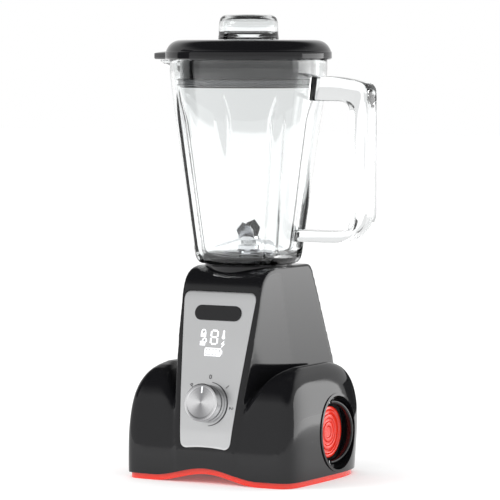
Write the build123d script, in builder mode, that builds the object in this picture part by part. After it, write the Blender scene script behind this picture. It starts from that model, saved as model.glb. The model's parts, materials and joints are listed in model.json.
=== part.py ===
"""Cordless countertop blender: clear fluted jar with handle, lid and measuring cap, on a tower base.

Frame: millimetres, +Z up, origin on the drive axis at bench level. The control panel faces -Y,
the jar handle points to +X and the pouring spout to -X. A battery pack slides out of each side.
"""
import os
from math import cos, pi, radians, sin

from build123d import *

os.makedirs("parts", exist_ok=True)

# ---------------------------------------------------------------- driving dimensions
WALL = 2.8                # least housing wall
SKIRT = 5.0               # height of the red foot that shows under the housing
FRONT = 76.0              # housing front, in front of the drive axis
LOBE_TOP = 99.0           # top of the two side lobes
TOWER_TOP = 183.0         # rim round the jar seat

SEAT_R = 34.6             # jar seat, inner wall
SEAT_FLOOR = 165.0

PACK_Y = 12.0             # battery pack axis
PACK_Z = 40.0
PACK_R = 26.0
RECESS_R = 34.0           # round recess at each end
RECESS_FLOOR = 66.0       # its floor, from the middle of the housing
BAIL_R = 28.0             # battery pull handle, outer radius
BAIL_WIDTH = 7.0
BAIL_THICK = 3.4
BAIL_REST = 14.0          # degrees out of the recess at rest
RED_R = 22.5

JAR_BOTTOM = 185.0
JAR_NECK_R = 33.5
JAR_FLOOR = 190.0         # upper side of the jar floor
JAR_LOW_R = 46.8
JAR_MID_Z = 326.0
JAR_MID_R = 65.4
JAR_TOP_Z = 363.0
JAR_TOP_R = 68.2
JAR_WALL = 3.2
FLUTES = 4
FLUTE_START = -37.0       # degrees, first flute from +X
HANDLE_REACH = 121.0
HANDLE_WIDTH = 20.0
HANDLE_TOP = 347.0
HANDLE_LOW = 205.0

LID_R = 72.2
LID_LOW = 361.0
LID_TOP = 378.0
PLUG_R = 59.4
PLUG_LOW = 337.0
CAP_HOLE_R = 22.0
CAP_R = 26.0
CAP_TOP = 399.6
SPOUT_R = 91.0            # tip of the jar's spout
BEAK_R = 96.0             # tip of the lid's beak over it

MOTOR_R = 26.0
MOTOR_LOW = 92.0
MOTOR_HIGH = 148.0
SHAFT_R = 4.0
BUSH_GAP = 0.03           # running fit, radial

KNOB_R = 16.2
KNOB_HIGH = 12.6
KNOB_Z = 68.0
DISPLAY_Z = 121.0


def write(part, name):
    """Exports one finished piece under its node name."""
    part.label = name
    export_step(part, f"parts/{name}.step")


# ---------------------------------------------------------------- housing surfaces
def front_line():
    """Upper side profile of the control face, from the vertical foot to the top rounding: (y, z)."""
    return [(-FRONT + 1, 30), (-70.5, 60), (-62, 100), (-54, 135), (-48.5, 158)]


def rounded_plan(inner, outer, front, back):
    """Squarish closed curve from inner to outer in X, with tighter corners at the front."""
    centre_x, centre_y = (inner + outer) / 2, (front + back) / 2
    points = []
    for k in range(32):
        turn = 2 * pi * (k + 0.5) / 32
        power = 2 / 8.0 if sin(turn) < 0 else 2 / 2.9
        x = (outer - centre_x) * abs(cos(turn)) ** power * (1 if cos(turn) > 0 else -1)
        y = (back - centre_y) * abs(sin(turn)) ** power * (1 if sin(turn) > 0 else -1)
        points.append((centre_x + x, centre_y + y))
    with BuildSketch() as made:
        with BuildLine():
            Spline(*points, periodic=True)
        make_face()
    return made.sketch


# one lobe: height, then its inner and outer X, front and back there
LOBES = [
    (-6, -16, 84, -75.2, 73), (12, -3, 84, -75, 73.3), (30, 9, 84, -74, 73.5), (45, 20, 83.6, -72.2, 72.8),
    (60, 28, 82.5, -69.4, 71), (72, 35.5, 80.5, -66, 67.5), (82, 42, 77.5, -61, 62.5), (90, 48.5, 73.5, -54, 55),
    (95.5, 54, 69.5, -44, 45), (LOBE_TOP, 59, 65.5, -28, 30),
]


def lobe(grow=0.0):
    """The rounded body on the right of the tower; the left one is its mirror image."""
    with BuildPart() as made:
        for z, inner, outer, front, back in LOBES:
            with BuildSketch(Plane.XY.offset(z)):
                add(rounded_plan(inner - grow, outer + grow, front - grow, back + grow))
        loft()
        with BuildSketch():
            Rectangle(300, 300)
        extrude(amount=-20, mode=Mode.SUBTRACT)
    return made.part


def foot_sketch(inset):
    """Outline of the foot: both lobes and what lies between them."""
    _, inner, outer, front, back = LOBES[0]
    with BuildSketch() as foot:
        add(rounded_plan(inner + inset, outer - inset, front + inset, back - inset))
        mirror(about=Plane.YZ)
        with Locations((0, (front + back) / 2)):
            Rectangle(76, back - front - 2 * inset - 0.4)
    return foot.sketch


def tower_sketch(inset):
    """Side profile of the tower, in the YZ plane."""
    with BuildSketch(Plane.YZ) as tower:
        with BuildLine():
            Line((-FRONT, 0), (-FRONT + 1, 30))
            Spline(*front_line(), tangents=[(1, 30), (0.22, 1)])
            Spline((-48.5, 158), (-40, 176), (-22, TOWER_TOP), tangents=[(0.22, 1), (1, 0)])
            Line((-22, TOWER_TOP), (38, TOWER_TOP))
            TangentArc((38, TOWER_TOP), (43.5, 178.5), tangent=(1, 0))
            Spline((43.5, 178.5), (50, 140), (55.5, 100), (58, 50), tangents=[(0.1, -1), (0, -1)])
            Polyline((58, 50), (58, 0), (-FRONT, 0))
        make_face()
        scale(by=(1 - inset / FRONT, 1 - inset / TOWER_TOP, 1))
    return tower.sketch


# half widths of the tower at Y = -120 and Y = 110, at its foot and at its top
FLANK_LOW = (12, 92.6)
FLANK_HIGH = (39.5, 38)


def flank_section(z, front_half, back_half, inset):
    """Plan of the tower's two flanks at one height."""
    with BuildSketch(Plane.XY.offset(z)) as section:
        with BuildLine():
            Polyline(
                (-front_half + inset, -120),
                (front_half - inset, -120),
                (back_half - inset, 110),
                (-back_half + inset, 110),
                close=True,
            )
        make_face()
    return section.sketch


def tower_body(inset):
    """The tower: its side profile cut to the flanks."""
    with BuildPart() as made:
        add(flank_section(-5, *FLANK_LOW, inset))
        add(flank_section(TOWER_TOP + 5, *FLANK_HIGH, inset))
        loft()
        add(extrude(tower_sketch(inset), amount=130, both=True, mode=Mode.PRIVATE), mode=Mode.INTERSECT)
    return made.part


# ---------------------------------------------------------------- shared shapes
def prism(plane, points):
    """Very deep prism, both ways from the plane, of a closed outline."""
    with BuildPart() as made:
        with BuildSketch(plane):
            with BuildLine():
                Polyline(*points, close=True)
            make_face()
        extrude(amount=130, both=True)
    return made.part


def cavity():
    """Room inside the housing: a faceted one in the tower, and the low body's own form 4 mm smaller."""
    side = prism(Plane.YZ, [
        (-72.5, -2), (-71.5, 30), (-67, 60), (-58.5, 100), (-50.5, 135), (-45, 156), (-38, 171), (-30, 176),
        (38, 176), (45.5, 140), (51, 100), (54, 50), (54, -2),
    ])
    with BuildPart() as between_flanks:
        add(flank_section(-5, *FLANK_LOW, WALL))
        add(flank_section(TOWER_TOP + 5, *FLANK_HIGH, WALL))
        loft()
    room = Pos(0, 0, -4) * lobe(-4)
    return side & between_flanks.part, room, mirror(room, about=Plane.YZ)


def ring(outer_r, inner_r, low, high):
    """Plain ring or disc on the drive axis."""
    with BuildPart() as made:
        with BuildSketch(Plane.XY.offset(low)):
            Circle(outer_r)
            if inner_r:
                Circle(inner_r, mode=Mode.SUBTRACT)
        extrude(amount=high - low)
    return made.part


def turned(*points):
    """Solid turned about the drive axis from a closed outline of (radius, height) points."""
    with BuildPart() as made:
        with BuildSketch(Plane.XZ):
            with BuildLine():
                Polyline(*points, close=True)
            make_face()
        revolve(axis=Axis.Z)
    return made.part


def front_plane(z, out=0.0):
    """Plane on the control face at height z, its normal pointing out of the face."""
    face_line = Spline(*front_line(), tangents=[(1, 30), (0.22, 1)])
    low, high = 0.0, 1.0
    for _ in range(30):
        mid = (low + high) / 2
        low, high = (mid, high) if face_line.position_at(mid).Y < z else (low, mid)
    at, along = face_line.position_at(low), face_line.tangent_at(low)
    normal = Vector(0, -along.Y, along.X)
    return Plane(origin=Vector(0, at.X, at.Y) + normal * out, x_dir=(1, 0, 0), z_dir=normal)


# ---------------------------------------------------------------- base: housing and its covers
ARCH_HALF = 52.0          # half width of the raised stretch at the front of the foot
ARCH_RISE = 8.2
ARCH_DEPTH = 34.0         # it runs back to this far in front of the axis
FOOT_INSET = 2.0


def arch_band(low, high):
    """Material between two copies of the raised wave at the front, low and high above it."""
    steps = [-1, -0.5, 0, 0.5, 1]
    wave = [(ARCH_HALF * s, ARCH_RISE * (0.5 + 0.5 * cos(pi * s))) for s in steps]
    with BuildPart() as band:
        with BuildSketch(Plane.XZ.offset(ARCH_DEPTH)):
            with BuildLine():
                Spline(*[(x, z + low) for x, z in wave], tangents=[(1, 0), (1, 0)])
                Line((ARCH_HALF, low), (ARCH_HALF, high))
                Spline(*[(x, z + high) for x, z in wave], tangents=[(1, 0), (1, 0)])
                Line((-ARCH_HALF, high), (-ARCH_HALF, low))
            make_face()
        extrude(amount=60)
    return band.part


right_lobe = lobe()
outer_blank = tower_body(0) + right_lobe + mirror(right_lobe, about=Plane.YZ)
tower_face = extrude(tower_sketch(0), amount=60, both=True)
PANEL_THICK = 1.0
with BuildPart() as panel_room:
    with BuildSketch(Plane.XZ.offset(35)):
        with BuildLine():
            Polyline((24.5, 29), (36.5, 163), (-36.5, 163), (-24.5, 29))
            ThreePointArc((-24.5, 29), (0, 31), (24.5, 29))
        panel_face = make_face()
        fillet(panel_face.vertices(), 6.5)
    extrude(amount=60)
    add(extrude(tower_sketch(PANEL_THICK), amount=60, both=True, mode=Mode.PRIVATE), mode=Mode.SUBTRACT)

with BuildPart() as front_panel:
    add(panel_room.part & tower_face)
    with BuildSketch(front_plane(KNOB_Z, -10)):
        Circle(4)
    extrude(amount=20, mode=Mode.SUBTRACT)
write(front_panel.part, "front_panel")

BOSSES = [(-68, -48), (68, -48), (-58, 58), (58, 58)]
with BuildPart() as screw_bosses:
    # each with a rib to the wall
    for x, y in BOSSES:
        side = 1 if x > 0 else -1
        with BuildSketch(Plane.XY.offset(SKIRT)):
            with Locations((x, y)):
                Circle(4.5)
            with Locations((x + side * 8, y)):
                Rectangle(16, 2.4)
        extrude(amount=28)

with BuildPart() as housing:
    add(outer_blank)
    for room in cavity():
        add(room, mode=Mode.SUBTRACT)
    add(screw_bosses.part & outer_blank)
    for x, y in BOSSES:
        with BuildSketch(Plane.XY.offset(SKIRT)):
            with Locations((x, y)):
                Circle(1.8)
        extrude(amount=14, mode=Mode.SUBTRACT)
    # open foot, higher at the front
    with BuildSketch(Plane.XY.offset(-2)):
        Rectangle(200, 200)
    extrude(amount=SKIRT + 2, mode=Mode.SUBTRACT)
    add(arch_band(-12, SKIRT), mode=Mode.SUBTRACT)
    # jar seat, battery ends, panel, knob and charging openings
    with BuildSketch(Plane.XY.offset(150)):
        Circle(SEAT_R + 2)
    extrude(amount=60, mode=Mode.SUBTRACT)
    with BuildSketch(Plane.YZ.offset(-120)):
        with Locations((PACK_Y, PACK_Z)):
            Circle(RECESS_R)
    extrude(amount=240, mode=Mode.SUBTRACT)
    add(panel_room.part, mode=Mode.SUBTRACT)
    with BuildSketch(front_plane(KNOB_Z, -10)):
        Circle(4)
    extrude(amount=20, mode=Mode.SUBTRACT)
    with BuildSketch(Plane.XZ.offset(-60)):
        with Locations((0, 25)):
            Circle(5.5)
    extrude(amount=-30, mode=Mode.SUBTRACT)
write(housing.part, "housing")

with BuildPart() as base_plate:
    with BuildSketch():
        add(foot_sketch(FOOT_INSET))
    extrude(amount=SKIRT)
    with BuildSketch():
        add(foot_sketch(FOOT_INSET + 7))
    extrude(amount=SKIRT / 2, mode=Mode.SUBTRACT)
    add(arch_band(-12, 0), mode=Mode.SUBTRACT)
    add(arch_band(0, SKIRT) & extrude(foot_sketch(FOOT_INSET), amount=30, mode=Mode.PRIVATE))
    with BuildSketch(Plane.XY.offset(SKIRT / 2)):
        with Locations((0, -ARCH_DEPTH)):
            Rectangle(2 * ARCH_HALF - 20, 3)
    extrude(amount=SKIRT)
    with Locations(*[(x, y, 0) for x, y in BOSSES]):
        Hole(2.0, depth=SKIRT * 2)
    with BuildSketch():
        with Locations(*BOSSES):
            Circle(4.2)
    extrude(amount=SKIRT / 2, mode=Mode.SUBTRACT)
    # air inlet slots below the fan
    with BuildSketch():
        with GridLocations(0, 9, 1, 7):
            SlotOverall(60, 4)
    extrude(amount=SKIRT, mode=Mode.SUBTRACT)
write(base_plate.part, "base_plate")

with BuildPart() as base_screws:
    for x, y in BOSSES:
        with BuildSketch():
            with Locations((x, y)):
                Circle(3.6)
        extrude(amount=SKIRT / 2)
        with BuildSketch():
            with Locations((x, y)):
                Circle(1.8)
        extrude(amount=SKIRT + 12)
write(base_screws.part, "base_screws")

with BuildPart() as foot_pads:
    with BuildSketch():
        with Locations((-48, -22), (48, -22), (-48, 46), (48, 46)):
            Circle(8)
    extrude(amount=SKIRT / 2)
write(foot_pads.part, "foot_pads")

# ---------------------------------------------------------------- base: controls and display
with BuildPart() as badge:
    with BuildSketch(front_plane(144.5, -3)):
        SlotOverall(46, 13.2)
    extrude(amount=3.9)
    chamfer(badge.faces().sort_by(Axis.Y)[0].edges(), 0.3)
    add(tower_face, mode=Mode.SUBTRACT)
write(badge.part, "badge")

with BuildPart() as display_icons:
    with BuildSketch(front_plane(DISPLAY_Z, -1)):
        # one seven-segment figure
        with Locations((-1, 9), (-1, 3.2), (-1, -2.6)):
            Rectangle(4.4, 1.3)
        with Locations((-4.2, 6.1), (2.2, 6.1), (-4.2, 0.3), (2.2, 0.3)):
            Rectangle(1.3, 4.4)
        # closed and open padlock
        for y, slide in ((5.0, 0), (-2.4, 1.6)):
            with Locations((-12, y)):
                Rectangle(5, 3.6)
            with Locations((-12 + slide, y + 2.6)):
                Circle(2.2)
                Circle(1.4, mode=Mode.SUBTRACT)
        # thermometer and charging bolt
        with Locations((8, 6.4)):
            RectangleRounded(1.6, 6, 0.7)
        with Locations((8, 3.4)):
            Circle(1.5)
        with BuildLine():
            Polyline((9.4, 0.6), (6.2, -2.6), (7.8, -2.6), (6.8, -5.6), (10, -2.0), (8.3, -2.0), close=True)
        make_face()
        # battery gauge
        with Locations((-1, -9.6)):
            RectangleRounded(16, 7, 1)
            Rectangle(14.4, 5.4, mode=Mode.SUBTRACT)
        with Locations((-5.8, -9.6), (-2.6, -9.6), (0.6, -9.6), (3.8, -9.6)):
            Rectangle(2.4, 4)
        with Locations((7.6, -9.6)):
            Rectangle(1.2, 3)
    extrude(amount=1.25)
    add(tower_face, mode=Mode.SUBTRACT)
write(display_icons.part, "display_icons")

with BuildPart() as display_board:
    with BuildSketch(front_plane(DISPLAY_Z, -9)):
        Rectangle(44, 32)
    extrude(amount=1.6)
    with BuildSketch(front_plane(DISPLAY_Z, -7.4)):
        Rectangle(30, 26)
    extrude(amount=3.6)
write(display_board.part, "display_board")

knob_base = front_plane(KNOB_Z, 0.7)
with BuildPart() as speed_knob:
    with BuildSketch(knob_base):
        Circle(KNOB_R)
        Circle(3, mode=Mode.SUBTRACT)
    extrude(amount=KNOB_HIGH)
    with BuildSketch(front_plane(KNOB_Z, 0.7 + KNOB_HIGH)):
        Circle(KNOB_R)
    extrude(amount=-3, mode=Mode.ADD)
    chamfer(speed_knob.faces().sort_by(Axis.Y)[0].outer_wire().edges(), 0.7)
    # pointer notch on the face
    with BuildSketch(front_plane(KNOB_Z, 0.7 + KNOB_HIGH - 0.5)):
        with Locations((0, KNOB_R - 5.2)):
            Rectangle(1.1, 5.6)
    extrude(amount=2, mode=Mode.SUBTRACT)
write(speed_knob.part, "speed_knob")

with BuildPart() as knob_shaft:
    with BuildSketch(front_plane(KNOB_Z, -15)):
        Circle(3)
    extrude(amount=15.7 + KNOB_HIGH - 3)
write(knob_shaft.part, "knob_shaft")

with BuildPart() as rotary_switch:
    with BuildSketch(front_plane(KNOB_Z, -18)):
        RectangleRounded(22, 22, 2)
    extrude(amount=14)
    with BuildSketch(front_plane(KNOB_Z, -15)):
        Circle(3 + BUSH_GAP)
    extrude(amount=14, mode=Mode.SUBTRACT)
write(rotary_switch.part, "rotary_switch")

with BuildPart() as control_board:
    with BuildSketch(Plane.XZ.offset(-45)):
        with Locations((0, 96)):
            RectangleRounded(56, 44, 2)
    extrude(amount=-1.6)
    with BuildSketch(Plane.XZ.offset(-45)):
        with Locations((-16, 104), (0, 104), (16, 104)):
            Circle(5)
        with Locations((-10, 84), (12, 84)):
            Rectangle(14, 10)
    extrude(amount=9)
write(control_board.part, "control_board")

with BuildPart() as charge_socket:
    with BuildSketch(Plane.XZ.offset(-58)):
        with Locations((0, 25)):
            Circle(5.5)
    extrude(amount=-15.5)
    with BuildSketch(Plane.XZ.offset(-73.5)):
        with Locations((0, 25)):
            Circle(3.2)
            Circle(1.0, mode=Mode.SUBTRACT)
    extrude(amount=10, mode=Mode.SUBTRACT)
write(charge_socket.part, "charge_socket")

# ---------------------------------------------------------------- base: jar seat, motor and clutch
MOUNT_R = 30.0            # screws that hang the motor plate under the seat
PIN_Y = 30.0              # jar interlock pin
RIM = 1.5
with BuildPart() as jar_seat:
    add(turned(
        (9, SEAT_FLOOR - 3), (SEAT_R + 2, SEAT_FLOOR - 3), (SEAT_R + 2, TOWER_TOP), (SEAT_R + 3.4, TOWER_TOP),
        (SEAT_R + 3.0, TOWER_TOP + RIM), (SEAT_R + 0.6, TOWER_TOP + RIM), (SEAT_R, TOWER_TOP - 1), (SEAT_R, SEAT_FLOOR),
        (18.5, SEAT_FLOOR), (18.5, SEAT_FLOOR + 8), (16.5, SEAT_FLOOR + 8), (16.5, SEAT_FLOOR), (9, SEAT_FLOOR),
    ))
    with BuildSketch(Plane.XY.offset(SEAT_FLOOR - 10)):
        with PolarLocations(MOUNT_R, 4, start_angle=45):
            Circle(4)
    extrude(amount=7)
    with BuildSketch(Plane.XY.offset(SEAT_FLOOR - 10)):
        with PolarLocations(MOUNT_R, 4, start_angle=45):
            Circle(1.5)
    extrude(amount=8, mode=Mode.SUBTRACT)
    with BuildSketch(Plane.XY.offset(SEAT_FLOOR - 4)):
        with Locations((0, PIN_Y)):
            Circle(2 + BUSH_GAP)
    extrude(amount=6, mode=Mode.SUBTRACT)
    # three ribs that key the jar
    with BuildSketch(Plane.XY.offset(SEAT_FLOOR)):
        with PolarLocations(SEAT_R - 0.3, 3, start_angle=30):
            Rectangle(0.9, 9)
    extrude(amount=13)
write(jar_seat.part, "jar_seat")

PLATE_LOW = MOTOR_HIGH + 4
with BuildPart() as motor_mount:
    add(ring(35, 9, PLATE_LOW, PLATE_LOW + 3))
    with BuildSketch(Plane.XY.offset(PLATE_LOW)):
        with PolarLocations(MOUNT_R, 4, start_angle=45):
            Circle(1.5)
        with Locations((0, PIN_Y + 2)):
            Rectangle(15, 11)
    extrude(amount=3, mode=Mode.SUBTRACT)
write(motor_mount.part, "motor_mount")

with BuildPart() as mount_screws:
    with BuildSketch(Plane.XY.offset(PLATE_LOW - 2.5)):
        with PolarLocations(MOUNT_R, 4, start_angle=45):
            Circle(3.2)
    extrude(amount=2.5)
    with BuildSketch(Plane.XY.offset(PLATE_LOW)):
        with PolarLocations(MOUNT_R, 4, start_angle=45):
            Circle(1.5)
    extrude(amount=9)
write(mount_screws.part, "mount_screws")

with BuildPart() as interlock_pin:
    with BuildSketch(Plane.XY.offset(SEAT_FLOOR - 6.4)):
        with Locations((0, PIN_Y)):
            Circle(2)
    extrude(amount=9.2)
write(interlock_pin.part, "interlock_pin")

with BuildPart() as interlock_switch:
    with BuildSketch(Plane.XY.offset(SEAT_FLOOR - 20)):
        with Locations((0, PIN_Y + 1.5)):
            Rectangle(13, 7)
    extrude(amount=11)
write(interlock_switch.part, "interlock_switch")

BEARING_R = 8.0
write(ring(MOTOR_R, MOTOR_R - 2, MOTOR_LOW, MOTOR_HIGH), "motor_can")
write(ring(MOTOR_R, BEARING_R, MOTOR_HIGH, PLATE_LOW), "motor_end_top")
write(ring(MOTOR_R, BEARING_R, MOTOR_LOW - 4, MOTOR_LOW), "motor_end_bottom")

with BuildPart() as motor_bearings:
    for low in (MOTOR_LOW - 4, MOTOR_HIGH):
        add(ring(BEARING_R, SHAFT_R + BUSH_GAP, low, low + 4))
write(motor_bearings.part, "motor_bearings")

with BuildPart() as motor_magnets:
    add(ring(MOTOR_R - 2, 18.2, MOTOR_LOW + 8, MOTOR_HIGH - 6))
    with BuildSketch(Plane.XY.offset(MOTOR_LOW)):
        Rectangle(80, 14)
    extrude(amount=80, mode=Mode.SUBTRACT)
write(motor_magnets.part, "motor_magnets")

with BuildPart() as motor_brushes:
    with BuildSketch(Plane.XY.offset(MOTOR_LOW + 1.5)):
        with Locations((-16, 0), (16, 0)):
            Rectangle(13, 5)
    extrude(amount=5)
write(motor_brushes.part, "motor_brushes")

SHAFT_TOP = 174.0
write(ring(SHAFT_R, 0, 74, SHAFT_TOP), "motor_shaft")
write(ring(9, SHAFT_R, MOTOR_LOW + 1, MOTOR_LOW + 7.5), "commutator")
with BuildPart() as armature:
    add(ring(17.4, SHAFT_R, MOTOR_LOW + 9, MOTOR_HIGH - 7))
    with BuildSketch(Plane.XY.offset(MOTOR_LOW + 9)):
        with PolarLocations(13, 12):
            SlotOverall(5, 2.6)
        with PolarLocations(16.6, 12):
            Rectangle(4, 1.2)
    extrude(amount=60, mode=Mode.SUBTRACT)
write(armature.part, "armature")

FAN_LOW = 76.0
with BuildPart() as cooling_fan:
    add(ring(7.5, SHAFT_R, FAN_LOW, FAN_LOW + 8))
    add(ring(23.5, SHAFT_R, FAN_LOW + 7, FAN_LOW + 8.2))
    with BuildSketch(Plane.XY.offset(FAN_LOW)):
        with PolarLocations(15, 9):
            Rectangle(16, 1.2)
    extrude(amount=8)
write(cooling_fan.part, "cooling_fan")

STAR_TEETH = 6


def star(outer_r, inner_r, low, high):
    """Six-lobed clutch form."""
    tips = [
        (r * cos(pi * k / STAR_TEETH), r * sin(pi * k / STAR_TEETH))
        for k in range(2 * STAR_TEETH)
        for r in ([outer_r] if k % 2 == 0 else [inner_r])
    ]
    with BuildPart() as made:
        with BuildSketch(Plane.XY.offset(low)):
            with BuildLine():
                Polyline(*tips, close=True)
            form = make_face()
            fillet(form.vertices(), 1.0)
        extrude(amount=high - low)
    return made.part


CLUTCH_LOW = 166.0
with BuildPart() as drive_clutch:
    add(ring(7.5, 0, CLUTCH_LOW, CLUTCH_LOW + 3))
    add(star(11.6, 7.6, CLUTCH_LOW + 3, CLUTCH_LOW + 10.5))
    add(ring(SHAFT_R, 0, CLUTCH_LOW, SHAFT_TOP), mode=Mode.SUBTRACT)
write(drive_clutch.part, "drive_clutch")

# ---------------------------------------------------------------- jar assembly
with BuildPart() as driven_clutch:
    add(ring(15, 0, CLUTCH_LOW + 5, CLUTCH_LOW + 15))
    add(star(12.3, 8.3, CLUTCH_LOW + 5, CLUTCH_LOW + 11.4), mode=Mode.SUBTRACT)
    add(ring(SHAFT_R, 0, CLUTCH_LOW + 12.4, CLUTCH_LOW + 16), mode=Mode.SUBTRACT)
write(driven_clutch.part, "driven_clutch")

SHOULDER = 205.0          # blades sit on this step of the shaft
with BuildPart() as blade_shaft:
    add(ring(SHAFT_R, 0, CLUTCH_LOW + 12.4, SHOULDER))
    add(ring(6.5, 0, SHOULDER - 3.5, SHOULDER))
    add(ring(3, 0, SHOULDER, SHOULDER + 8))
write(blade_shaft.part, "blade_shaft")

BLADE_THICK = 1.6


def blade(low, reach, bend, turn):
    """Two-armed blade: a flat ring in the middle, both arms tilted up by bend degrees."""
    with BuildSketch() as outline:
        with BuildLine():
            Polyline((-2, -6.5), (reach * 0.55, -7.5), (reach, -1.5), (reach * 0.8, 5), (-2, 6.5), close=True)
        make_face()
    arm = extrude(outline.sketch, amount=BLADE_THICK)
    with BuildPart() as made:
        add(ring(9, 0, low, low + BLADE_THICK))
        for angle in (turn, turn + 180):
            add(Pos(0, 0, low) * Rot(0, 0, angle) * Pos(6.5, 0, 0) * Rot(0, -bend, 0) * arm)
        add(ring(3, 0, low - 3, low + 6), mode=Mode.SUBTRACT)
    return made.part


lower_blade = blade(SHOULDER, 25, -18, 20)
upper_blade = blade(SHOULDER + BLADE_THICK, 22, 38, 110)
write(lower_blade, "lower_blade")
write(upper_blade - lower_blade, "upper_blade")

with BuildPart() as blade_nut:
    with BuildSketch(Plane.XY.offset(SHOULDER + 2 * BLADE_THICK)):
        RegularPolygon(5.6, 6)
    extrude(amount=4)
    add(turned((0, 212.2), (4.6, 212.2), (3.6, 214.6), (0, 215.6)))
    add(ring(3, 0, SHOULDER, SHOULDER + 8), mode=Mode.SUBTRACT)
write(blade_nut.part, "blade_nut")

HOLDER_LOW = 181.5
write(
    turned(
        (6.5, HOLDER_LOW), (29.5, HOLDER_LOW), (29.5, HOLDER_LOW + 3), (23.6, HOLDER_LOW + 3), (23.6, 191),
        (21, 192.6), (11, 194), (9, 196), (9, 200.3), (6.5, 200.3),
    ),
    "blade_holder",
)
write(ring(29.5, 24, HOLDER_LOW + 3, JAR_FLOOR - 4), "jar_seal")
with BuildPart() as collar_nut:
    add(ring(30.4, 23, 174, HOLDER_LOW))
    with BuildSketch(Plane.XY.offset(174)):
        with PolarLocations(26.7, 6):
            Rectangle(10, 5)
    extrude(amount=3, mode=Mode.SUBTRACT)
write(collar_nut.part, "collar_nut")
with BuildPart() as shaft_bushes:
    for low in (183, 192.5):
        add(ring(6.5, SHAFT_R + BUSH_GAP, low, low + 6))
write(shaft_bushes.part, "shaft_bushes")
write(ring(6.5, SHAFT_R + BUSH_GAP, 198.5, 200.3), "shaft_seal")


def wall_radius(z):
    """Outer radius of the jar's straight wall."""
    return JAR_LOW_R + (JAR_MID_R - JAR_LOW_R) * (z - 194) / (JAR_MID_Z - 194)


FLUTE_R = 9.0
FLUTE_DEEP = 4.2
FLUTE_LOW = 180.0
FLUTE_HIGH = 336.0


def flutes(radius):
    """One leaning cylinder per flute, which leaves the wall at its upper end."""
    low_r = wall_radius(200) - FLUTE_DEEP + FLUTE_R
    high_r = wall_radius(FLUTE_HIGH) + FLUTE_R
    lean = (high_r - low_r) / (FLUTE_HIGH - 200)
    start = Vector(low_r - lean * (200 - FLUTE_LOW), 0, FLUTE_LOW)
    along = Vector(lean, 0, 1)
    length = (FLUTE_HIGH - FLUTE_LOW) * along.length
    with BuildPart() as made:
        for k in range(FLUTES):
            turn = FLUTE_START + 360 / FLUTES * k
            with BuildSketch(Plane(start.rotate(Axis.Z, turn), z_dir=along.rotate(Axis.Z, turn))):
                Circle(radius)
            extrude(amount=length)
    return made.part


def jar_inside():
    """The space inside the jar, from its floor to above the rim."""
    low = JAR_LOW_R - JAR_WALL
    with BuildPart() as made:
        with BuildSketch(Plane.XZ):
            with BuildLine():
                Polyline(
                    (0, JAR_FLOOR), (low - 6, JAR_FLOOR), (low, 197), (JAR_MID_R - JAR_WALL, JAR_MID_Z),
                    (JAR_TOP_R - JAR_WALL, JAR_TOP_Z), (JAR_TOP_R - JAR_WALL, JAR_TOP_Z + 20), (0, JAR_TOP_Z + 20),
                    close=True,
                )
            make_face()
        revolve(axis=Axis.Z)
    return made.part


SPOUT_HALF = 17.0


def spout(inset):
    """Pouring lip at -X, widening upwards."""
    with BuildPart() as made:
        for z, tip, half in ((JAR_TOP_Z - 13, 66, 5), (JAR_TOP_Z - 2.2, SPOUT_R, SPOUT_HALF)):
            with BuildSketch(Plane.XY.offset(z + (0.1 if inset else 0))):
                with BuildLine():
                    Polyline((-56, half - inset), (-tip + inset * 1.3, 0), (-56, -half + inset), close=True)
                make_face()
        loft()
    return made.part


with BuildPart() as jar:
    with BuildSketch(Plane.XZ):
        with BuildLine():
            Polyline(
                (24, 186), (JAR_NECK_R - 3, 186), (JAR_NECK_R - 3, 168), (JAR_NECK_R, 168), (JAR_NECK_R, JAR_BOTTOM),
                (41, JAR_BOTTOM),
            )
            ThreePointArc((41, JAR_BOTTOM), (45.4, 188), (JAR_LOW_R, 194))
            Polyline(
                (JAR_LOW_R, 194), (JAR_MID_R, JAR_MID_Z), (JAR_TOP_R, JAR_TOP_Z - 12), (JAR_TOP_R, JAR_TOP_Z),
                (24, JAR_TOP_Z), (24, 186),
            )
        make_face()
    revolve(axis=Axis.Z)
    with BuildSketch(Plane.XZ):
        with BuildLine():
            Polyline(
                (40, HANDLE_LOW), (100, HANDLE_LOW), (HANDLE_REACH, HANDLE_LOW + 16), (HANDLE_REACH, HANDLE_TOP - 6),
                (86, HANDLE_TOP), (40, HANDLE_TOP), close=True,
            )
        grip = make_face()
        fillet(grip.vertices().filter_by(lambda v: v.X > 80), 7)
    extrude(amount=HANDLE_WIDTH / 2, both=True)
    with BuildSketch(Plane.XZ):
        with BuildLine():
            Polyline((40, 215), (104, 215), (104, JAR_MID_Z), (40, JAR_MID_Z), close=True)
        gap = make_face()
        fillet(gap.vertices().filter_by(lambda v: v.X > 80), 9)
        with BuildLine():
            Polyline((0, 200), (wall_radius(200) - 0.01, 200), (wall_radius(340) - 0.01, 340), (0, 340), close=True)
        make_face(mode=Mode.SUBTRACT)
    extrude(amount=HANDLE_WIDTH, both=True, mode=Mode.SUBTRACT)
    add(spout(0))
    add(jar_inside() - flutes(FLUTE_R + JAR_WALL), mode=Mode.SUBTRACT)
    add(flutes(FLUTE_R), mode=Mode.SUBTRACT)
    add(spout(2.4), mode=Mode.SUBTRACT)
    with BuildSketch(Plane.XY.offset(JAR_TOP_Z - 2.2)):
        with Locations((-80, 0)):
            Rectangle(50, 2 * SPOUT_HALF)
    extrude(amount=10, mode=Mode.SUBTRACT)
write(jar.part, "jar")

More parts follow.
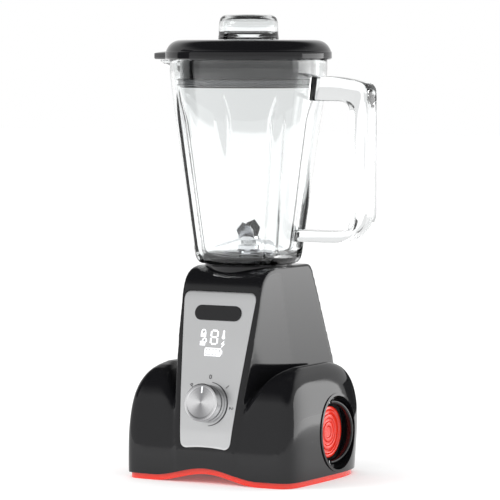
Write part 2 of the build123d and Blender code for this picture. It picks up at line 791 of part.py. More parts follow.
# ---------------------------------------------------------------- lid and measuring cap
with BuildPart() as lid:
    with BuildSketch(Plane.XZ):
        with BuildLine():
            Line((CAP_HOLE_R, LID_TOP), (59, LID_TOP))
            ThreePointArc((59, LID_TOP), (68.6, 374.2), (LID_R, 365.5))
            Polyline(
                (LID_R, 365.5), (LID_R, LID_LOW), (LID_R - 2.6, LID_LOW), (LID_R - 2.6, JAR_TOP_Z + 0.5),
                (PLUG_R, JAR_TOP_Z + 0.5), (PLUG_R, PLUG_LOW), (PLUG_R - 2.4, PLUG_LOW), (PLUG_R - 2.4, LID_TOP - 3),
                (CAP_HOLE_R + 2.2, LID_TOP - 3), (CAP_HOLE_R + 2.2, 364), (CAP_HOLE_R, 364), (CAP_HOLE_R, LID_TOP),
            )
        make_face()
    revolve(axis=Axis.Z)
    # thin line round the rim
    groove = turned((LID_R - 0.5, 367.6), (LID_R + 2, 366.8), (LID_R + 2, 368.4))
    add(groove, mode=Mode.SUBTRACT)
    with BuildSketch(Plane.XZ):
        with BuildLine():
            Polyline((-68, JAR_TOP_Z - 1.6), (-BEAK_R, JAR_TOP_Z - 1.6), (-BEAK_R, 363.6), (-69, 369), close=True)
        make_face()
    beak = extrude(amount=30, both=True, mode=Mode.PRIVATE)
    with BuildSketch(Plane.XY.offset(355)):
        with BuildLine():
            Polyline((-68, 18), (-BEAK_R, 3), (-BEAK_R, -3), (-68, -18), close=True)
        make_face()
    add(beak & extrude(amount=20, mode=Mode.PRIVATE))
write(lid.part, "lid")

with BuildPart() as lid_gasket:
    add(turned(
        (PLUG_R, 338.5), (PLUG_R + 1.2, 338.5), (62.6, 339.2), (PLUG_R + 1.4, 340), (PLUG_R + 1.4, 343),
        (62.6, 343.8), (PLUG_R + 1.2, 344.6), (PLUG_R, 344.6),
    ))
write(lid_gasket.part, "lid_gasket")

with BuildPart() as measuring_cap:
    with BuildSketch(Plane.XZ):
        with BuildLine():
            Line((0, CAP_TOP - 0.6), (16, CAP_TOP - 0.6))
            Line((16, CAP_TOP - 0.6), (17, CAP_TOP))
            Line((17, CAP_TOP), (19.4, CAP_TOP))
            ThreePointArc((19.4, CAP_TOP), (23.9, 397.6), (CAP_R - 0.4, 393))
            Polyline(
                (CAP_R - 0.4, 393), (CAP_R - 0.2, 383), (CAP_R + 0.4, LID_TOP + 0.3), (CAP_HOLE_R - 0.4, LID_TOP + 0.3),
                (CAP_HOLE_R - 1, 360), (CAP_HOLE_R - 3, 360), (CAP_HOLE_R - 2.4, 379), (CAP_R - 2.6, 383.5), (CAP_R - 2.6, 392),
            )
            ThreePointArc((CAP_R - 2.6, 392), (22.2, 395.6), (18.6, 397.2))
            Polyline((18.6, 397.2), (0, 397.2), (0, CAP_TOP - 0.6))
        make_face()
    revolve(axis=Axis.Z)
write(measuring_cap.part, "measuring_cap")

# ---------------------------------------------------------------- battery bay and the two packs
with BuildPart() as battery_bay:
    with BuildSketch(Plane.YZ.offset(-64)):
        with Locations((PACK_Y, PACK_Z)):
            Circle(29.2)
            Circle(27, mode=Mode.SUBTRACT)
    extrude(amount=128)
    with BuildSketch(Plane.YZ.offset(-1.5)):
        with Locations((PACK_Y, PACK_Z)):
            Circle(27)
    extrude(amount=3)
write(battery_bay.part, "battery_bay")

with BuildPart() as bay_terminals:
    for start, reach in ((1.5, 3), (-1.5, -3)):
        with BuildSketch(Plane.YZ.offset(start)):
            with Locations((PACK_Y - 7, PACK_Z), (PACK_Y + 7, PACK_Z)):
                Rectangle(5, 8)
        extrude(amount=reach * 0.4)
write(bay_terminals.part, "bay_terminals")

PACK_IN = 3.0
CASE_WALL = 1.6
PIVOT_X = 73.5
FACE_X = 69.5


def across(x):
    """YZ plane at x, its origin on the battery pack axis."""
    return Plane(origin=(x, PACK_Y, PACK_Z), x_dir=(0, 1, 0), z_dir=(1, 0, 0))


with BuildPart() as end_bezel:
    with BuildSketch(across(RECESS_FLOOR - 2)):
        Circle(RECESS_R)
        Circle(27, mode=Mode.SUBTRACT)
    extrude(amount=30)
    with BuildSketch(across(RECESS_FLOOR)):
        Circle(RECESS_R - 2.2)
    extrude(amount=30, mode=Mode.SUBTRACT)
    add(lobe(0.7), mode=Mode.INTERSECT)

with BuildPart() as pack_case:
    with BuildSketch(across(PACK_IN)):
        Circle(PACK_R + 0.4)
    extrude(amount=RECESS_FLOOR - PACK_IN)
    with BuildSketch(across(RECESS_FLOOR)):
        Circle(31)
    extrude(amount=FACE_X - RECESS_FLOOR)
    with BuildSketch(across(PACK_IN + CASE_WALL)):
        Circle(PACK_R + 0.4 - CASE_WALL)
    extrude(amount=RECESS_FLOOR - PACK_IN - CASE_WALL, mode=Mode.SUBTRACT)
    # two lugs that carry the pull handle's pins
    with BuildSketch(across(FACE_X)):
        with Locations((0, 29.6), (0, -29.6)):
            Rectangle(7, 2.4)
    extrude(amount=7)
    with BuildSketch(Plane(origin=(PIVOT_X, PACK_Y, PACK_Z - 40))):
        Circle(1.3)
    extrude(amount=80, mode=Mode.SUBTRACT)

with BuildPart() as pack_cells:
    with BuildSketch(across(PACK_IN + CASE_WALL + 2)):
        with PolarLocations(11.8, 3, start_angle=90):
            Circle(9)
    extrude(amount=50)

with BuildPart() as pack_button:
    outline = [
        (0, FACE_X), (RED_R, FACE_X), (RED_R, 72.6), (RED_R - 1.4, PIVOT_X + 0.4), (RED_R - 3.4, PIVOT_X + 0.4),
        (RED_R - 4.4, 72.6), (15.6, 72.6), (15, 73.1), (14, 73.1), (13.4, 72.6), (9.6, 72.6), (9, 73.1), (8, 73.1),
        (7.4, 72.6), (0, 72.4),
    ]
    with BuildSketch(Plane(origin=(0, PACK_Y, PACK_Z), x_dir=(0, 1, 0), z_dir=(0, 0, 1))):
        with BuildLine():
            Polyline(*[(r, -x) for r, x in outline], close=True)
        make_face()
    revolve(axis=Axis((0, PACK_Y, PACK_Z), (1, 0, 0)))

with BuildPart() as pack_bail:
    # half ring towards the back, flat in the recess, then swung to where it rests
    with BuildSketch(across(PIVOT_X - BAIL_WIDTH / 2)):
        Circle(BAIL_R)
        Circle(BAIL_R - BAIL_THICK, mode=Mode.SUBTRACT)
        with Locations((-RECESS_R - 1.0, 0)):
            Rectangle(2 * RECESS_R, 2 * RECESS_R, mode=Mode.SUBTRACT)
    extrude(amount=BAIL_WIDTH)
    fillet(pack_bail.edges().filter_by(GeomType.CIRCLE), 0.9)
    # rounded eyes at the pivots
    with BuildSketch(Plane(origin=(PIVOT_X, PACK_Y, PACK_Z - BAIL_R + 0.2))):
        Circle(BAIL_WIDTH / 2)
    extrude(amount=BAIL_THICK - 0.6)
    with BuildSketch(Plane(origin=(PIVOT_X, PACK_Y, PACK_Z + BAIL_R - 0.2))):
        Circle(BAIL_WIDTH / 2)
    extrude(amount=-BAIL_THICK + 0.6)
    with BuildSketch(Plane(origin=(PIVOT_X, PACK_Y, PACK_Z - 40))):
        Circle(1.3)
    extrude(amount=80, mode=Mode.SUBTRACT)
swung_bail = pack_bail.part.rotate(Axis((PIVOT_X, PACK_Y, 0), (0, 0, 1)), -BAIL_REST)

with BuildPart() as bail_pins:
    for side in (1, -1):
        with BuildSketch(Plane(origin=(PIVOT_X, PACK_Y, PACK_Z + side * 24.8))):
            Circle(1.25)
        extrude(amount=side * 5.8)

for name, made in (
    ("bezel", end_bezel.part), ("pack_case", pack_case.part), ("pack_cells", pack_cells.part),
    ("pack_button", pack_button.part), ("pack_handle", swung_bail), ("handle_pins", bail_pins.part),
):
    write(made, f"{name}_right")
    write(mirror(made, about=Plane.YZ), f"{name}_left")
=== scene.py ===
"""Looks of the cordless countertop blender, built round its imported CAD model."""
import json
import math

import bmesh
import bpy
from mathutils import Matrix, Vector


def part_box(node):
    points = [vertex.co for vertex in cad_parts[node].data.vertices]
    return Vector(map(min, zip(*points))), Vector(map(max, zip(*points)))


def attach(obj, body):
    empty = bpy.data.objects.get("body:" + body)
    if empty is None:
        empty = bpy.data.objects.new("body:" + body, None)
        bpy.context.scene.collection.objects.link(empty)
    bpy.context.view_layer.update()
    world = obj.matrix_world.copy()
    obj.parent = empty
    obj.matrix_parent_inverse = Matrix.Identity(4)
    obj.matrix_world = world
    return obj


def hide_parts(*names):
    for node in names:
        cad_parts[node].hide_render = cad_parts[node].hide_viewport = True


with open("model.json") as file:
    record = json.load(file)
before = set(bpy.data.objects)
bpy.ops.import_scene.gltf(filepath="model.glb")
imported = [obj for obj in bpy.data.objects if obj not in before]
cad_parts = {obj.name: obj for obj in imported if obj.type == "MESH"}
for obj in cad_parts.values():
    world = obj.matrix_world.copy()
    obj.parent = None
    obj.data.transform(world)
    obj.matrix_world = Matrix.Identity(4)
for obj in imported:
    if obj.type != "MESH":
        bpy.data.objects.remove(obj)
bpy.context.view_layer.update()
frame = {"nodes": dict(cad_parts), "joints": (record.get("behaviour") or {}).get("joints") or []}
nodes = frame["nodes"]
joints = {joint["name"]: joint for joint in frame["joints"]}

# ------------------------------------------------------------------ sizes, in millimetres
MM = 0.001
FRONT = 76.0
TOWER_TOP = 183.0
SKIRT = 5.0
ARCH_HALF = 52.0             # the wave in the housing's lower edge: half width, rise, depth
ARCH_RISE = 8.2
ARCH_DEPTH = 34.0
PACK_Y = 12.0
PACK_Z = 40.0
RECESS_R = 34.0
SEAT_R = 36.6                # hole for the jar seat
PANEL_LOW = 29.0
PANEL_HIGH = 163.0
PANEL_ROUND = 6.5
JAR_BOTTOM = 185.0
JAR_FLOOR = 190.0
JAR_MID = (326.0, 65.4)      # height and radius where the wall turns steeper
JAR_LOW = (194.0, 46.8)
JAR_TOP = (363.0, 68.2)
JAR_WALL = 3.2
FLUTE_TURNS = (-37.0, 53.0, 143.0, 233.0)
FLUTE_DEEP = 4.2
FLUTE_HALF = 7.6
FLUTE_TOP = 335.0
LID_R = 72.2
LID_LOW = 361.0
LID_TOP = 378.0
PLUG_R = 59.4
PLUG_LOW = 337.0
CAP_HOLE_R = 22.0
CAP_TOP = 399.6
KNOB_R = 16.2
KNOB_HIGH = 12.6
PIVOT_X = 73.5               # pull handle's pivot
PULL_REST = 14.0             # degrees that a pull handle stands out at rest
SCALE_GAP = 2.6              # from the knob to its printed arc
SCALE_HALF_TURN = 84.0       # the arc's reach up and down from the right, in degrees
LABEL_GAP = 6.9              # from the knob to the middle of a label
LABEL_SIZE = 5.4
LABELS = (("P", 139), ("0", 91), ("1", 42), ("2", -6))
BELOW = -12.0                # the closed forms of the base start this far under the bench
MERGE_VOXEL = 1.25           # mesh size at which tower and lobes grow together
ROOM_VOXEL = 2.5
TOWER_WALL = 3.5
LOBE_WALL = 4.5

# one lobe of the low body: height, then its inner and outer X, front and back there
LOBES = [
    (-6, -16, 84, -75.2, 73), (12, -3, 84, -75, 73.3), (30, 9, 84, -74, 73.5), (45, 20, 83.6, -72.2, 72.8),
    (60, 28, 82.5, -69.4, 71), (72, 35.5, 80.5, -66, 67.5), (82, 42, 77.5, -61, 62.5),
    (90, 48.5, 73.5, -54, 55), (95.5, 54, 69.5, -44, 45), (99, 59, 65.5, -28, 30),
]
LOBE_FRONT_POWER = 8.0
LOBE_BACK_POWER = 2.9
# half widths of the tower at Y = -120 and Y = 110, at its foot and at its top
FLANK_LOW = (12.0, 92.6)
FLANK_HIGH = (39.5, 38.0)
# side outlines of the tower, (Z, Y): its front and its back
TOWER_FRONT = [
    (0, -76), (30, -75), (45, -73.2), (60, -70.5), (80, -66.6), (100, -62), (118, -58), (135, -54),
    (147, -51.2), (158, -48.5), (168, -45.2), (174, -41.8), (178, -37.6), (181, -32), (182.5, -26.5),
    (183, -22),
]
TOWER_BACK = [
    (0, 58), (50, 58), (75, 57.2), (100, 55.5), (120, 53), (140, 50), (160, 47.2), (178.5, 43.5),
    (181.8, 41.5), (183, 38),
]


# ------------------------------------------------------------------ curves and outlines
def between(a, b, t):
    return a + (b - a) * t


def smooth_step(t):
    t = min(1.0, max(0.0, t))
    return t * t * (3 - 2 * t)


def catmull(points, t):
    """Point at t, from 0 to 1, of the smooth curve through the tuples in points."""
    last = len(points) - 1
    k = min(int(t * last), last - 1)
    u = t * last - k
    p = [points[max(0, k - 1)], points[k], points[k + 1], points[min(last, k + 2)]]
    made = []
    for a, b, c, d in zip(*p):
        made.append(0.5 * (2 * b + (c - a) * u + (2 * a - 5 * b + 4 * c - d) * u * u
                           + (3 * b - a - 3 * c + d) * u ** 3))
    return tuple(made)


def rounded(points, radii, steps=6):
    """Closed outline with its corners rounded, each by its own radius."""
    count = len(points)
    made = []
    for i, point in enumerate(points):
        at = Vector(point)
        if radii[i] <= 0:
            made.append(tuple(at))
            continue
        before = Vector(points[i - 1]) - at
        after = Vector(points[(i + 1) % count]) - at
        reach = min(radii[i], before.length * 0.49, after.length * 0.49)
        start = at + before.normalized() * reach
        end = at + after.normalized() * reach
        for k in range(steps + 1):
            t = k / steps
            made.append(tuple(start * (1 - t) ** 2 + at * 2 * t * (1 - t) + end * t * t))
    return made


# ------------------------------------------------------------------ meshes
def to_mesh(name, points, faces):
    """Object from points in millimetres, its faces turned outwards."""
    mesh = bpy.data.meshes.new(name)
    mesh.from_pydata([Vector(p) * MM for p in points], [], faces)
    work = bmesh.new()
    work.from_mesh(mesh)
    bmesh.ops.remove_doubles(work, verts=work.verts, dist=1e-6)
    bmesh.ops.recalc_face_normals(work, faces=work.faces)
    work.to_mesh(mesh)
    work.free()
    made = bpy.data.objects.new(name, mesh)
    bpy.context.scene.collection.objects.link(made)
    return made


def skin(name, rows, ring=True, loop=False, caps=False, strips=False):
    """Surface through rows of points. ring closes each row, loop joins the last row to the first.

    caps closes the two ends with one face each, strips with a row of quads across.
    """
    width = len(rows[0])
    points = [p for row in rows for p in row]
    faces = []
    for i in range(len(rows) if loop else len(rows) - 1):
        for j in range(width if ring else width - 1):
            a, b = i * width, (i + 1) % len(rows) * width
            k = (j + 1) % width
            faces.append((a + j, a + k, b + k, b + j))
    if caps:
        faces.append(tuple(range(width))[::-1])
        faces.append(tuple(range((len(rows) - 1) * width, len(rows) * width)))
    if strips:
        for start in (0, (len(rows) - 1) * width):
            for j in range(width // 2 - 1):
                faces.append((start + j, start + j + 1, start + width - 2 - j, start + width - 1 - j))
    return to_mesh(name, points, faces)


def lathe(name, profile, steps=128, reach=None):
    """Ring about the drive axis from a closed outline of (radius, height); reach may stretch it."""
    rows = []
    for k in range(steps):
        turn = 2 * math.pi * k / steps
        row = []
        for r, z in profile:
            grown = r + (reach(turn, r, z) if reach else 0.0)
            row.append((grown * math.cos(turn), grown * math.sin(turn), z))
        rows.append(row)
    return skin(name, rows, ring=True, loop=True)


def slab(name, low, high, front, back, half, columns=60, rows=70):
    """Upright plate: half(z) wide each side, between y = front(z) and y = back(z)."""
    faces = [[], []]
    for i in range(rows + 1):
        t = i / rows
        for side, depth in enumerate((front, back)):
            row = []
            for j in range(columns + 1):
                s = -1 + 2 * j / columns
                z = low(s) + (high(s) - low(s)) * t
                x = s * half(z)
                row.append((x, depth(z), z))
            faces[side].append(row)
    rings = [near + far[::-1] for near, far in zip(*faces)]
    return skin(name, rings, ring=True, strips=True)


def modify(piece, kind, **settings):
    modifier = piece.modifiers.new(kind.lower(), kind)
    for key, value in settings.items():
        setattr(modifier, key, value)
    return modifier


def settle(piece):
    """Applies the piece's modifiers to its mesh."""
    graph = bpy.context.evaluated_depsgraph_get()
    mesh = bpy.data.meshes.new_from_object(piece.evaluated_get(graph))
    piece.modifiers.clear()
    piece.data = mesh
    return piece


def combine(piece, others, operation):
    """Adds or cuts the other objects, which are then removed."""
    for other in others:
        modify(piece, "BOOLEAN", object=other, operation=operation, solver="EXACT")
    settle(piece)
    for other in others:
        bpy.data.objects.remove(other)
    return piece


def joined(name, parts):
    """One object from several, without any boolean."""
    work = bmesh.new()
    for part in parts:
        work.from_mesh(part.data)
        bpy.data.objects.remove(part)
    mesh = bpy.data.meshes.new(name)
    work.to_mesh(mesh)
    work.free()
    made = bpy.data.objects.new(name, mesh)
    bpy.context.scene.collection.objects.link(made)
    return made


def finish_piece(piece, material, body, replaced=(), sharp=35.0):
    """Smooth shading, material and its place on a CAD body."""
    piece.data.materials.clear()
    piece.data.materials.append(material)
    for face in piece.data.polygons:
        face.material_index = 0
        face.use_smooth = True
    piece.data.set_sharp_from_angle(angle=math.radians(sharp))
    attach(piece, body)
    if replaced:
        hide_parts(*replaced)
    return piece


# ------------------------------------------------------------------ materials
def link(tree, source, target):
    tree.links.new(source, target)


def surface(name, colour, rough, metal=0.0, grain=300.0, relief=0.02, stretch=(1, 1, 1),
            spread=0.25, mottle=0.06, **sockets):
    """Principled surface whose roughness, colour and fine relief follow noise in object space."""
    made = bpy.data.materials.new(name)
    made.use_nodes = True
    tree = made.node_tree
    shader = tree.nodes["Principled BSDF"]
    shader.inputs["Metallic"].default_value = metal
    for key, value in sockets.items():
        shader.inputs[key.replace("_", " ")].default_value = value
    place = tree.nodes.new("ShaderNodeTexCoord")
    mapping = tree.nodes.new("ShaderNodeMapping")
    mapping.inputs["Scale"].default_value = stretch
    link(tree, place.outputs["Object"], mapping.inputs["Vector"])
    noise = tree.nodes.new("ShaderNodeTexNoise")
    noise.inputs["Scale"].default_value = grain
    noise.inputs["Detail"].default_value = 4.0
    link(tree, mapping.outputs["Vector"], noise.inputs["Vector"])
    ramp = tree.nodes.new("ShaderNodeMapRange")
    ramp.inputs["To Min"].default_value = rough * (1 - spread)
    ramp.inputs["To Max"].default_value = rough * (1 + spread)
    link(tree, noise.outputs["Fac"], ramp.inputs["Value"])
    link(tree, ramp.outputs["Result"], shader.inputs["Roughness"])
    cloud = tree.nodes.new("ShaderNodeTexNoise")
    cloud.inputs["Scale"].default_value = 14.0
    link(tree, place.outputs["Object"], cloud.inputs["Vector"])
    tint = tree.nodes.new("ShaderNodeMix")
    tint.data_type = "RGBA"
    tint.inputs["A"].default_value = (*[c * (1 - mottle) for c in colour], 1)
    tint.inputs["B"].default_value = (*[min(1, c * (1 + mottle)) for c in colour], 1)
    link(tree, cloud.outputs["Fac"], tint.inputs["Factor"])
    link(tree, tint.outputs["Result"], shader.inputs["Base Color"])
    bump = tree.nodes.new("ShaderNodeBump")
    bump.inputs["Strength"].default_value = relief
    bump.inputs["Distance"].default_value = 0.0002
    link(tree, noise.outputs["Fac"], bump.inputs["Height"])
    link(tree, bump.outputs["Normal"], shader.inputs["Normal"])
    return made


def painted_fan_highlight(tree, place):
    """Painted highlight and shade: colour that goes twice from dark to bright in a turn about Z, standing
    in for the fan of highlights on a lathe-turned face.
    """
    def maths(operation, first, second=None):
        node = tree.nodes.new("ShaderNodeMath")
        node.operation = operation
        link(tree, first, node.inputs[0])
        if isinstance(second, float):
            node.inputs[1].default_value = second
        elif second:
            link(tree, second, node.inputs[1])
        return node.outputs["Value"]

    split = tree.nodes.new("ShaderNodeSeparateXYZ")
    link(tree, place.outputs["Object"], split.inputs["Vector"])
    angle = maths("ARCTAN2", split.outputs["Y"], split.outputs["X"])
    wave = maths("COSINE", maths("MULTIPLY", angle, 2.0))
    fan = tree.nodes.new("ShaderNodeMapRange")
    fan.inputs["From Min"].default_value = -1.0
    fan.inputs["From Max"].default_value = 1.0
    link(tree, wave, fan.inputs["Value"])
    tint = tree.nodes.new("ShaderNodeMix")
    tint.data_type = "RGBA"
    # painted shade at the fan's dark ends, painted highlight at its bright ends
    tint.inputs["A"].default_value = (0.34, 0.34, 0.35, 1)
    tint.inputs["B"].default_value = (0.86, 0.86, 0.87, 1)
    link(tree, fan.outputs["Result"], tint.inputs["Factor"])
    return tint.outputs["Result"]


def turned_metal():
    """Aluminium faced on a lathe: fine rings and radial anisotropy, with a painted fan of highlight and
    shade in its colour.
    """
    made = surface("turned_aluminium", (0.62, 0.62, 0.63), 0.24, metal=1.0, grain=900, relief=0.0,
                   Anisotropic=0.85)
    tree = made.node_tree
    shader = tree.nodes["Principled BSDF"]
    tangent = tree.nodes.new("ShaderNodeTangent")
    tangent.direction_type = "RADIAL"
    tangent.axis = "Z"
    link(tree, tangent.outputs["Tangent"], shader.inputs["Tangent"])
    place = tree.nodes.new("ShaderNodeTexCoord")
    # the base colour is the painted fan of highlight and shade, and it turns with the knob
    link(tree, painted_fan_highlight(tree, place), shader.inputs["Base Color"])
    rings = tree.nodes.new("ShaderNodeTexWave")
    rings.wave_type = "RINGS"
    rings.rings_direction = "Z"
    rings.inputs["Scale"].default_value = 900.0
    rings.inputs["Distortion"].default_value = 0.3
    link(tree, place.outputs["Object"], rings.inputs["Vector"])
    bump = tree.nodes.new("ShaderNodeBump")
    bump.inputs["Strength"].default_value = 0.08
    bump.inputs["Distance"].default_value = 0.0001
    link(tree, rings.outputs["Fac"], bump.inputs["Height"])
    link(tree, bump.outputs["Normal"], shader.inputs["Normal"])
    return made


GLOSS_BLACK = surface("gloss_black", (0.007, 0.007, 0.008), 0.08, grain=220, relief=0.006,
                      Specular_IOR_Level=0.4)
MOULDED_BLACK = surface("moulded_black", (0.022, 0.022, 0.024), 0.42, grain=1600, relief=0.25)
RUBBER = surface("rubber", (0.02, 0.02, 0.02), 0.72, grain=2200, relief=0.35)
SILICONE = surface("grey_silicone", (0.16, 0.165, 0.17), 0.38, grain=900, relief=0.08)
RED_PLASTIC = surface("red_plastic", (0.84, 0.032, 0.014), 0.16, grain=260, relief=0.01,
                      Coat_Weight=0.3, Coat_Roughness=0.05)
BRUSHED_STEEL = surface("brushed_steel", (0.66, 0.665, 0.67), 0.34, metal=1.0, grain=60,
                        stretch=(1.5, 30, 60), relief=0.05, spread=0.18, mottle=0.02)
PLATED_STEEL = surface("plated_steel", (0.56, 0.57, 0.58), 0.28, metal=1.0, grain=700, relief=0.05)
BLADE_STEEL = surface("blade_steel", (0.72, 0.73, 0.75), 0.2, metal=1.0, grain=300,
                      stretch=(1, 12, 1), relief=0.06)
ALUMINIUM = turned_metal()
# bright metal for the recess rims: a painted highlight in place of the light that the gloss black edge
# mirrors
PAINTED_RIM_HIGHLIGHT = surface("painted_rim_highlight", (0.75, 0.76, 0.78), 0.08, metal=1.0, grain=400, relief=0.01)
BRASS = surface("brass", (0.72, 0.48, 0.18), 0.25, metal=1.0, grain=500, relief=0.05)
BOARD = surface("board_green", (0.02, 0.16, 0.07), 0.4, grain=900, relief=0.1)
CELL = surface("cell_sleeve", (0.05, 0.32, 0.24), 0.3, grain=500, relief=0.05)
MAGNET = surface("ferrite", (0.06, 0.06, 0.065), 0.6, grain=1200, relief=0.3)
PRINT_GREY = surface("printed_grey", (0.03, 0.03, 0.034), 0.5, grain=1500, relief=0.05)
# glowing white of the lit display icons; on the knob's pointer the same glow is painted, as that line is
# no lamp
ICON_WHITE = surface("lit_white", (0.95, 0.97, 1.0), 0.3, grain=600, relief=0.02,
                     Emission_Color=(0.93, 0.97, 1.0, 1), Emission_Strength=0.6)
CLEAR = surface("clear_plastic", (0.97, 0.985, 0.985), 0.02, grain=60, relief=0.004, mottle=0.005,
                Transmission_Weight=1.0, IOR=1.49)

NODE_LOOKS = {
    GLOSS_BLACK: ("bezel_right", "bezel_left", "badge", "jar_seat"),
    RED_PLASTIC: ("base_plate",),
    PLATED_STEEL: ("base_screws", "mount_screws", "motor_shaft", "motor_can", "motor_bearings",
                   "handle_pins_right", "handle_pins_left", "charge_socket", "armature",
                   "blade_shaft", "knob_shaft"),
    BLADE_STEEL: ("lower_blade", "upper_blade", "blade_nut", "blade_holder"),
    ICON_WHITE: ("display_icons",),
    BOARD: ("display_board", "control_board"),
    MOULDED_BLACK: ("rotary_switch", "motor_end_top", "motor_end_bottom", "motor_mount",
                    "cooling_fan", "interlock_switch", "interlock_pin", "battery_bay",
                    "pack_case_right", "pack_case_left", "collar_nut", "drive_clutch",
                    "driven_clutch"),
    RUBBER: ("foot_pads", "jar_seal", "shaft_seal"),
    SILICONE: ("lid_gasket",),
    MAGNET: ("motor_magnets", "motor_brushes"),
    BRASS: ("shaft_bushes", "commutator", "bay_terminals"),
    CELL: ("pack_cells_right", "pack_cells_left"),
}
for look, names in NODE_LOOKS.items():
    for name in names:
        nodes[name].data.materials.clear()
        nodes[name].data.materials.append(look)


# ------------------------------------------------------------------ forms of the base
def lobe_at(z):
    """(inner, outer, front, back) of the right lobe at height z."""
    heights = [row[0] for row in LOBES]
    k = max([i for i, height in enumerate(heights[:-1]) if height <= z], default=0)
    u = (z - heights[k]) / (heights[k + 1] - heights[k])
    return catmull(LOBES, (k + min(1, max(0, u))) / (len(LOBES) - 1))[1:]


def lobe_ring(side, z, level, grow, count=160):
    """Plan of one lobe at height z, set at another level; its corners are tighter at the front."""
    inner, outer, front, back = lobe_at(z)
    half = (outer - inner) / 2 + grow
    deep = (back - front) / 2 + grow
    ring = []
    for k in range(count):
        turn = 2 * math.pi * (k + 0.5) / count
        power = 2 / (LOBE_FRONT_POWER if math.sin(turn) < 0 else LOBE_BACK_POWER)
        x = (inner + outer) / 2 + half * math.copysign(abs(math.cos(turn)) ** power, math.cos(turn))
        y = (front + back) / 2 + deep * math.copysign(abs(math.sin(turn)) ** power, math.sin(turn))
        ring.append((side * x, y, level))
    return ring


def lobe(side, grow=0.0, drop=0.0):
    """The rounded body on one side of the tower, as a closed form."""
    top = LOBES[-1][0]
    heights = [0, 10, 20, 30] + [30 + (top - 30) * k / 26 for k in range(1, 27)]
    rows = [lobe_ring(side, 0, BELOW, grow)]
    rows += [lobe_ring(side, z, z - drop, grow) for z in heights]
    return skin("lobe", rows, caps=True)


def flank(y, z):
    """Half width of the tower at (y, z)."""
    t = (z + 5) / (TOWER_TOP + 10)
    front = between(FLANK_LOW[0], FLANK_HIGH[0], t)
    back = between(FLANK_LOW[1], FLANK_HIGH[1], t)
    return between(front, back, (y + 120) / 230)


def outline_y(outline, z):
    """Y of one of the tower's outlines at height z."""
    for (low, a), (high, b) in zip(outline, outline[1:]):
        if z <= high:
            return between(a, b, (z - low) / (high - low))
    return outline[-1][1]


def face_y(z):
    """Y of the control face at height z."""
    return outline_y(TOWER_FRONT, max(0, z))


def tower_body(inset=0.0, across=14):
    """The tower, as a closed form."""
    rows = []
    heights = [0] + [158 * k / 24 for k in range(25)] + [158 + 25 * k / 20 for k in range(1, 21)]
    for i, z in enumerate(heights):
        front = face_y(z) * (1 - inset / FRONT)
        back = outline_y(TOWER_BACK, z) * (1 - inset / FRONT)
        level = z * (1 - inset / TOWER_TOP) if i else BELOW
        side = [between(front, back, j / across) for j in range(across + 1)]
        right = [(flank(y, level) - inset, y, level) for y in side]
        rows.append(right + [(-x, y, z_at) for x, y, z_at in reversed(right)])
    return skin("tower", rows, caps=True)


def cylinder_x(radius, start, end, steps=160):
    """Cylinder along X round the battery packs' axis."""
    rows = []
    for x in (start, end):
        rows.append([
            (x, PACK_Y + radius * math.cos(2 * math.pi * k / steps),
             PACK_Z + radius * math.sin(2 * math.pi * k / steps))
            for k in range(steps)
        ])
    return skin("cutter", rows, caps=True)


def cylinder_z(radius, low, high, steps=160):
    """Cylinder round the drive axis."""
    rows = []
    for z in (low, high):
        rows.append([
            (radius * math.cos(2 * math.pi * k / steps), radius * math.sin(2 * math.pi * k / steps), z)
            for k in range(steps)
        ])
    return skin("cutter", rows, caps=True)


def arch_cutter():
    """Everything under the housing's lower edge, which rises in a wave at the front."""
    line = []
    for k in range(49):
        s = -1 + 2 * k / 48
        line.append((ARCH_HALF * s, SKIRT + ARCH_RISE * (0.5 + 0.5 * math.cos(math.pi * s))))
    wave = [(-120, SKIRT)] + line + [(120, SKIRT)]
    rows = []
    for y in (-120, -ARCH_DEPTH):
        rows.append([(x, y, z) for x, z in wave] + [(120, y, -30), (-120, y, -30)])
    return skin("cutter", rows, caps=True)


def box_cutter(low, high):
    (x0, y0, z0), (x1, y1, z1) = low, high
    rows = [[(x, y0, z0), (x, y1, z0), (x, y1, z1), (x, y0, z1)] for x in (x0, x1)]
    return skin("cutter", rows, caps=True)


def panel_half(z):
    return between(24.5, 36.5, (z - PANEL_LOW) / (PANEL_HIGH - PANEL_LOW))


def panel_slab(name, front, back, margin):
    """Plate with the panel's outline, margin smaller all round."""
    def corner(s, reach):
        edge = 1 - PANEL_ROUND / reach
        over = max(0.0, (abs(s) - edge) / (1 - edge))
        return PANEL_ROUND * (1 - math.sqrt(max(0.0, 1 - over * over)))

    def low(s):
        return PANEL_LOW + margin + 2.0 * (1 - s * s) + corner(s, 25)

    def high(s):
        return PANEL_HIGH - margin - corner(s, 36)

    return slab(name, low, high, front, back, lambda z: panel_half(z) - margin)


def make_housing():
    """One shell: tower and lobes grown together, hollowed, and opened where other pieces go."""
    shell = joined("housing_shell", [lobe(1), lobe(-1), tower_body()])
    modify(shell, "REMESH", mode="VOXEL", voxel_size=MERGE_VOXEL * MM)
    modify(shell, "SMOOTH", factor=0.5, iterations=16)
    settle(shell)
    inner_lobes = [lobe(side, -LOBE_WALL, LOBE_WALL) for side in (1, -1)]
    room = joined("room", inner_lobes + [tower_body(inset=TOWER_WALL)])
    modify(room, "REMESH", mode="VOXEL", voxel_size=ROOM_VOXEL * MM)
    settle(room)
    slot = panel_slab("cutter", lambda z: -100.0, lambda z: face_y(z) + 1.0, 0.0)
    cutters = [
        room,
        box_cutter((-150, -150, -40), (150, 150, SKIRT)),
        arch_cutter(),
        cylinder_z(SEAT_R, 150, 200),
        cylinder_x(RECESS_R, 60, 120),
        cylinder_x(RECESS_R, -120, -60),
        slot,
    ]
    combine(shell, cutters, "DIFFERENCE")
    return finish_piece(shell, GLOSS_BLACK, "base", ["housing"], sharp=40)


